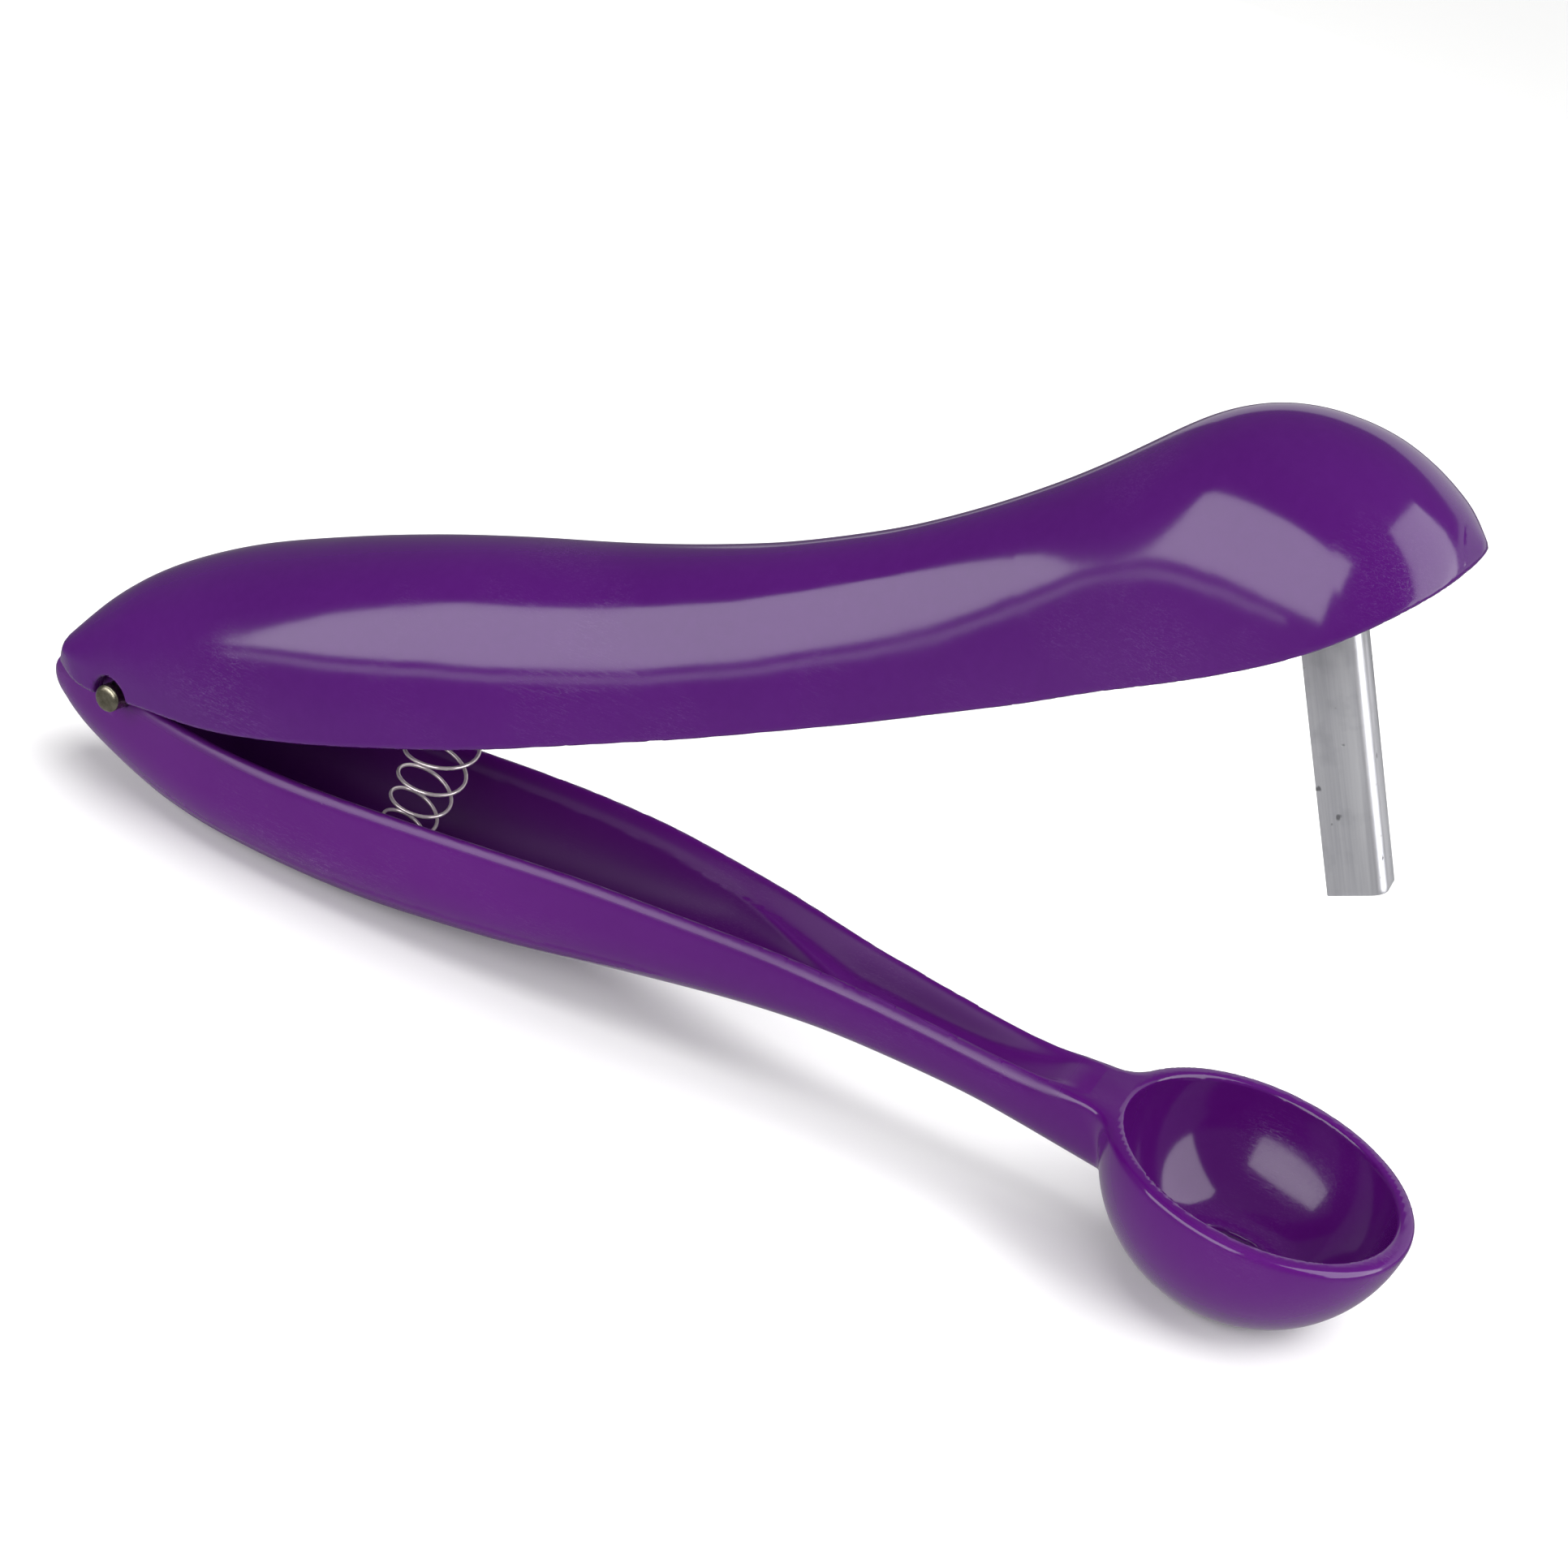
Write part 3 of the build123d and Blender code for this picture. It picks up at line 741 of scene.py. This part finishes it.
v, q = surface(lower_arm, (-15.2, -17.4, -15.0), (154.3, 17.4, 5.6), CELL)
v, q = drop_loose(v, q)
v = relax(v, q, lower_arm)
inside = ramp01((low_half(v[:, 0]) - 1.3 - np.abs(v[:, 1])) / 0.5) * (v[:, 2] > trough(v[:, 0]) - 0.4)
inside = inside * ramp01((low_rim(v[:, 0]) - 0.25 - v[:, 2]) / 0.5) * ramp01((119 - v[:, 0]) / 3)
edge = ramp01((1.7 - np.abs(low_rim(v[:, 0]) - v[:, 2])) / 0.8) * ramp01((118 - v[:, 0]) / 4)
# the less glossy finish ends on the rim's crest and in an arc across the neck
within = ((np.abs(v[:, 1]) < low_half(v[:, 0]) - 0.75) & (v[:, 2] > trough(v[:, 0]) - 0.4)
          & (v[:, 0] > -13.0) & (v[:, 0] < 119.6 - 0.16 * v[:, 1] ** 2))
lower = make_object("lower_arm_shell", lf_to_row(v), q, lower_plastic, nrm=normals(v, lower_arm),
                    dull=np.maximum(0.6 * inside, 0.6 * edge), second=(inner_plastic, within))
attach(lower, "lower_body")
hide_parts("lower_arm")


# ------------------------------------------------------------------ hinge pin
def lathe(profile, seg=72):
    """Closed solid about the Y axis from (radius, y) points, ends at radius 0."""
    verts, faces, rings = [], [], []
    for r, y in profile:
        if r < 1e-9:
            rings.append([len(verts)])
            verts.append((0.0, y, 0.0))
        else:
            rings.append(list(range(len(verts), len(verts) + seg)))
            for i in range(seg):
                a = 2 * math.pi * i / seg
                verts.append((r * math.sin(a), y, r * math.cos(a)))
    for a, b in zip(rings, rings[1:]):
        for i in range(seg):
            j = (i + 1) % seg
            if len(a) == 1:
                faces.append((a[0], b[j], b[i]))
            elif len(b) == 1:
                faces.append((a[i], a[j], b[0]))
            else:
                faces.append((a[i], a[j], b[j], b[i]))
    return np.array(verts), faces


def pin_profile(r, half, ch):
    one = [(0.0, -half), (0.5 * r, -half + 0.012), (r - ch - 0.12, -half + 0.05)]
    one += [(r - ch + 0.02, -half + 0.10), (r - 0.06, -half + ch), (r - 0.015, -half + ch + 0.06),
            (r, -half + ch + 0.16)]
    mid = [(r, y) for y in (-8.5, -4.0, 0.0, 4.0, 8.5)]
    return one + mid + [(a, -b) for a, b in reversed(one)]


pv, pf = lathe(pin_profile(1.6, 11.5, 0.35))
pin = make_object("hinge_pin_turned", lf_to_row(pv), pf, pin_metal)
pin.data.set_sharp_from_angle(angle=math.radians(28))
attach(pin, "lower_body")
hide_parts("hinge_pin")

# ------------------------------------------------------------------ plunger
def channel_loop(w, d, t, ro, seg=8):
    """Outline of the folded channel (x towards the tip, y across), one loop."""
    ri = max(ro - t, 0.15)
    pts = []

    def arc(cx, cy, r, a0, a1):
        for i in range(seg + 1):
            a = math.radians(a0 + (a1 - a0) * i / seg)
            pts.append((cx + r * math.cos(a), cy + r * math.sin(a)))
    e = 0.10
    x0 = -w / 2
    # lower flange: outer face, round the two bends, upper flange, back inside
    pts.append((x0 + e * 0.3, -d / 2 + e * 0.3))
    pts.append((x0 + e, -d / 2))
    arc(w / 2 - ro, -d / 2 + ro, ro, -90, 0)
    arc(w / 2 - ro, d / 2 - ro, ro, 0, 90)
    pts.append((x0 + e, d / 2))
    pts.append((x0 + e * 0.3, d / 2 - e * 0.3))
    pts.append((x0, d / 2 - e))
    pts.append((x0, d / 2 - t + e))
    pts.append((x0 + e * 0.3, d / 2 - t + e * 0.3))
    pts.append((x0 + e, d / 2 - t))
    arc(w / 2 - t - ri, d / 2 - t - ri, ri, 90, 0)
    arc(w / 2 - t - ri, -d / 2 + t + ri, ri, 0, -90)
    pts.append((x0 + e, -d / 2 + t))
    pts.append((x0 + e * 0.3, -d / 2 + t - e * 0.3))
    pts.append((x0, -d / 2 + t - e))
    pts.append((x0, -d / 2 + e))
    return np.array(pts)


def channel_mesh(z0, z1):
    loop = channel_loop(5.5, 5.3, 0.8, 1.3)
    n = len(loop)
    # inward normals of the loop, for the eased ends
    nxt, prv = np.roll(loop, -1, 0), np.roll(loop, 1, 0)
    t = nxt - prv
    nrm = np.stack([-t[:, 1], t[:, 0]], -1)
    nrm /= np.linalg.norm(nrm, axis=1)[:, None]
    levels = [(z0, 0.09), (z0 + 0.03, 0.03), (z0 + 0.09, 0.0)]
    levels += [(z, 0.0) for z in np.linspace(z0 + 0.6, z1 - 0.6, 26)]
    levels += [(z1 - 0.09, 0.0), (z1 - 0.03, 0.03), (z1, 0.09)]
    verts, faces = [], []
    for z, inset in levels:
        for p, m in zip(loop, nrm):
            verts.append((p[0] + m[0] * inset, p[1] + m[1] * inset, z))
    for a in range(len(levels) - 1):
        for i in range(n):
            j = (i + 1) % n
            faces.append((a * n + i, a * n + j, (a + 1) * n + j, (a + 1) * n + i))
    faces.append(tuple(reversed(range(n))))
    faces.append(tuple(range((len(levels) - 1) * n, len(levels) * n)))
    return np.array(verts), faces


cv, cf = channel_mesh(-32.0, 7.0)
lean = math.radians(1.8)
cx = cv[:, 0] * math.cos(lean) + cv[:, 2] * math.sin(lean) + 137.1
cz = -cv[:, 0] * math.sin(lean) + cv[:, 2] * math.cos(lean)
cv = np.stack([cx, cv[:, 1], cz], -1)
plunger = make_object("plunger_channel", lf_to_row(uf_to_lf(cv)), cf, sheet_metal)
plunger.data.set_sharp_from_angle(angle=math.radians(35))
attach(plunger, "upper_body")
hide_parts("pitting_plunger")

# ------------------------------------------------------------------ spring
TURNS, PHASE = 9.25, -1.46
foot = np.array([33.6, -10.06])
head = np.array([40.8 * CO - 7.9 * SO, 40.8 * SO + 7.9 * CO])
reach_1 = foot + np.array([0.4, 8.0])
reach_2 = head + 20.5 * np.array([SO, -CO])


def coil_point(s):
    k = ((1 - s)**3, 3 * s * (1 - s)**2, 3 * s * s * (1 - s), s**3)
    p = k[0] * foot + k[1] * reach_1 + k[2] * reach_2 + k[3] * head
    d = (-(1 - s)**2 * foot + ((1 - s)**2 - 2 * s * (1 - s)) * reach_1
         + (2 * s * (1 - s) - s * s) * reach_2 + s * s * head)
    d = d / np.linalg.norm(d)
    r = 2.2 + 3.4 * s
    a = 2 * math.pi * TURNS * s + PHASE
    return np.array([p[0] + r * math.cos(a) * d[1], r * math.sin(a), p[1] - r * math.cos(a) * d[0]])


def tube(path, radius, sides):
    n = len(path)
    tan = np.gradient(path, axis=0)
    tan /= np.linalg.norm(tan, axis=1)[:, None]
    up = np.cross(tan[0], (0.0, 0.0, 1.0))
    up /= np.linalg.norm(up)
    verts, faces = [], []
    rings = []

    def ring(c, u, w, r):
        rings.append(len(verts))
        for j in range(sides):
            a = 2 * math.pi * j / sides
            verts.append(c + r * (math.cos(a) * u + math.sin(a) * w))
    for i in range(n):
        up = up - tan[i] * np.dot(up, tan[i])
        up /= np.linalg.norm(up)
        w = np.cross(tan[i], up)
        if i == 0:
            ring(path[0] - tan[0] * 0.0, up, w, radius * 0.72)
            ring(path[0] + tan[0] * radius * 0.3, up, w, radius)
        elif i == n - 1:
            ring(path[-1] - tan[-1] * radius * 0.3, up, w, radius)
            ring(path[-1], up, w, radius * 0.72)
        else:
            ring(path[i], up, w, radius)
    for a, b in zip(rings, rings[1:]):
        for j in range(sides):
            k = (j + 1) % sides
            faces.append((a + j, a + k, b + k, b + j))
    faces.append(tuple(rings[0] + j for j in reversed(range(sides))))
    faces.append(tuple(rings[-1] + j for j in range(sides)))
    return np.array(verts), faces


path = np.array([coil_point(s) for s in np.linspace(0, 1, int(TURNS * 40) + 1)])
sv, sf = tube(path, 0.22, 12)
spring = make_object("return_spring_wire", lf_to_row(sv), sf, wire_metal)
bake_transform(spring)
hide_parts("return_spring")

# ------------------------------------------------------------------ camera
AZ, EL, ROLL = math.radians(18.97), math.radians(25.74), math.radians(15.02)
S, DIST = 10.501, 280.0
fwd = np.array([-math.sin(AZ) * math.cos(EL), math.cos(AZ) * math.cos(EL), -math.sin(EL)])
right = np.array([math.cos(AZ), math.sin(AZ), 0.0])
down = np.cross(fwd, right)
r0 = math.cos(ROLL) * right - math.sin(ROLL) * down
r1 = math.sin(ROLL) * right + math.cos(ROLL) * down
R = np.stack([r0, r1, fwd])
T = np.array([(208.8 - 966) / S, (828.0 - 966) / S, DIST])
centre = -R.T @ T
cam_data = bpy.data.cameras.new("view")
cam_data.sensor_width = 36.0
cam_data.sensor_fit = "HORIZONTAL"
cam_data.lens = 36.0 * S * DIST / 1932.0
cam_data.clip_start, cam_data.clip_end = 0.01, 20.0
cam = bpy.data.objects.new("view", cam_data)
bpy.context.scene.collection.objects.link(cam)
loc = lf_to_row(centre)
M = Matrix(((r0[0], -r1[0], -fwd[0], loc[0]), (r0[1], -r1[1], -fwd[1], loc[1]),
            (r0[2], -r1[2], -fwd[2], loc[2]), (0, 0, 0, 1)))
cam.matrix_world = M
bpy.context.scene.camera = cam

# ------------------------------------------------------------------ floor and light
fm, fnt, fb = new_mat("pale_floor")
fb.inputs["Base Color"].default_value = (0.93, 0.93, 0.925, 1)
fb.inputs["Roughness"].default_value = 0.8
bpy.ops.mesh.primitive_plane_add(size=14.0, location=(0, 0, -0.00003))
floor = bpy.context.object
floor.name = "floor"
floor.data.materials.append(fm)
floor.visible_glossy = False

# a dim room, a little lighter low down; the ceiling light only fills
world = bpy.data.worlds.new("studio")
bpy.context.scene.world = world
world.use_nodes = True
wt = world.node_tree
bg = wt.nodes["Background"]
bg.inputs[0].default_value = (1.0, 1.0, 1.0, 1)
way = wt.nodes.new("ShaderNodeTexCoord")
part_z = wt.nodes.new("ShaderNodeSeparateXYZ")
wt.links.new(way.outputs["Generated"], part_z.inputs[0])
glow = wt.nodes.new("ShaderNodeMapRange")
glow.interpolation_type = "SMOOTHSTEP"
wt.links.new(part_z.outputs["Z"], glow.inputs[0])
glow.inputs[1].default_value, glow.inputs[2].default_value = -0.75, 0.0
glow.inputs[3].default_value, glow.inputs[4].default_value = 0.40, 0.13
wt.links.new(glow.outputs[0], bg.inputs[1])

ceiling = bpy.data.lights.new("ceiling", "SUN")
ceiling.energy = 3.0
ceiling.angle = math.radians(75)
ceiling_ob = bpy.data.objects.new("ceiling", ceiling)
bpy.context.scene.collection.objects.link(ceiling_ob)
ceiling_ob.rotation_euler = (math.radians(-8), math.radians(6), 0)
ceiling_ob.visible_glossy = False


def soft_box(name, az, el, dist, width, height, radiance, target=(-0.06, 0.0, 0.05), tint=(1.0, 1.0, 1.0)):
    """Rectangular light at an azimuth and elevation, facing the object."""
    a, e = math.radians(az), math.radians(el)
    d = Vector((math.cos(a) * math.cos(e), math.sin(a) * math.cos(e), math.sin(e)))
    side = Vector((-math.sin(a), math.cos(a), 0.0))
    rise = d.cross(side)
    light = bpy.data.lights.new(name, "AREA")
    light.shape = "RECTANGLE"
    light.size, light.size_y = width, height
    light.energy = math.pi * width * height * radiance
    light.color = tint
    ob = bpy.data.objects.new(name, light)
    bpy.context.scene.collection.objects.link(ob)
    loc = Vector(target) + d * dist
    ob.matrix_world = Matrix(((side[0], rise[0], d[0], loc[0]), (side[1], rise[1], d[1], loc[1]),
                              (side[2], rise[2], d[2], loc[2]), (0, 0, 0, 1)))
    return ob


soft_box("front_box", -110, 21.5, 0.62, 0.90, 0.42, 3.7)
soft_box("side_box", 4, 26, 0.75, 0.60, 0.98, 3.1)
soft_box("low_strip", -116, -2.6, 0.55, 0.55, 0.03, 1.6)
soft_box("back_box", 68, 15, 0.95, 2.60, 0.52, 0.55)
bpy.context.scene.view_settings.view_transform = "Standard"

# ------------------------------------------------------------------ sizes
print("faces", {o.name: len(o.data.polygons) for o in (upper, lower, pin, plunger, spring)})
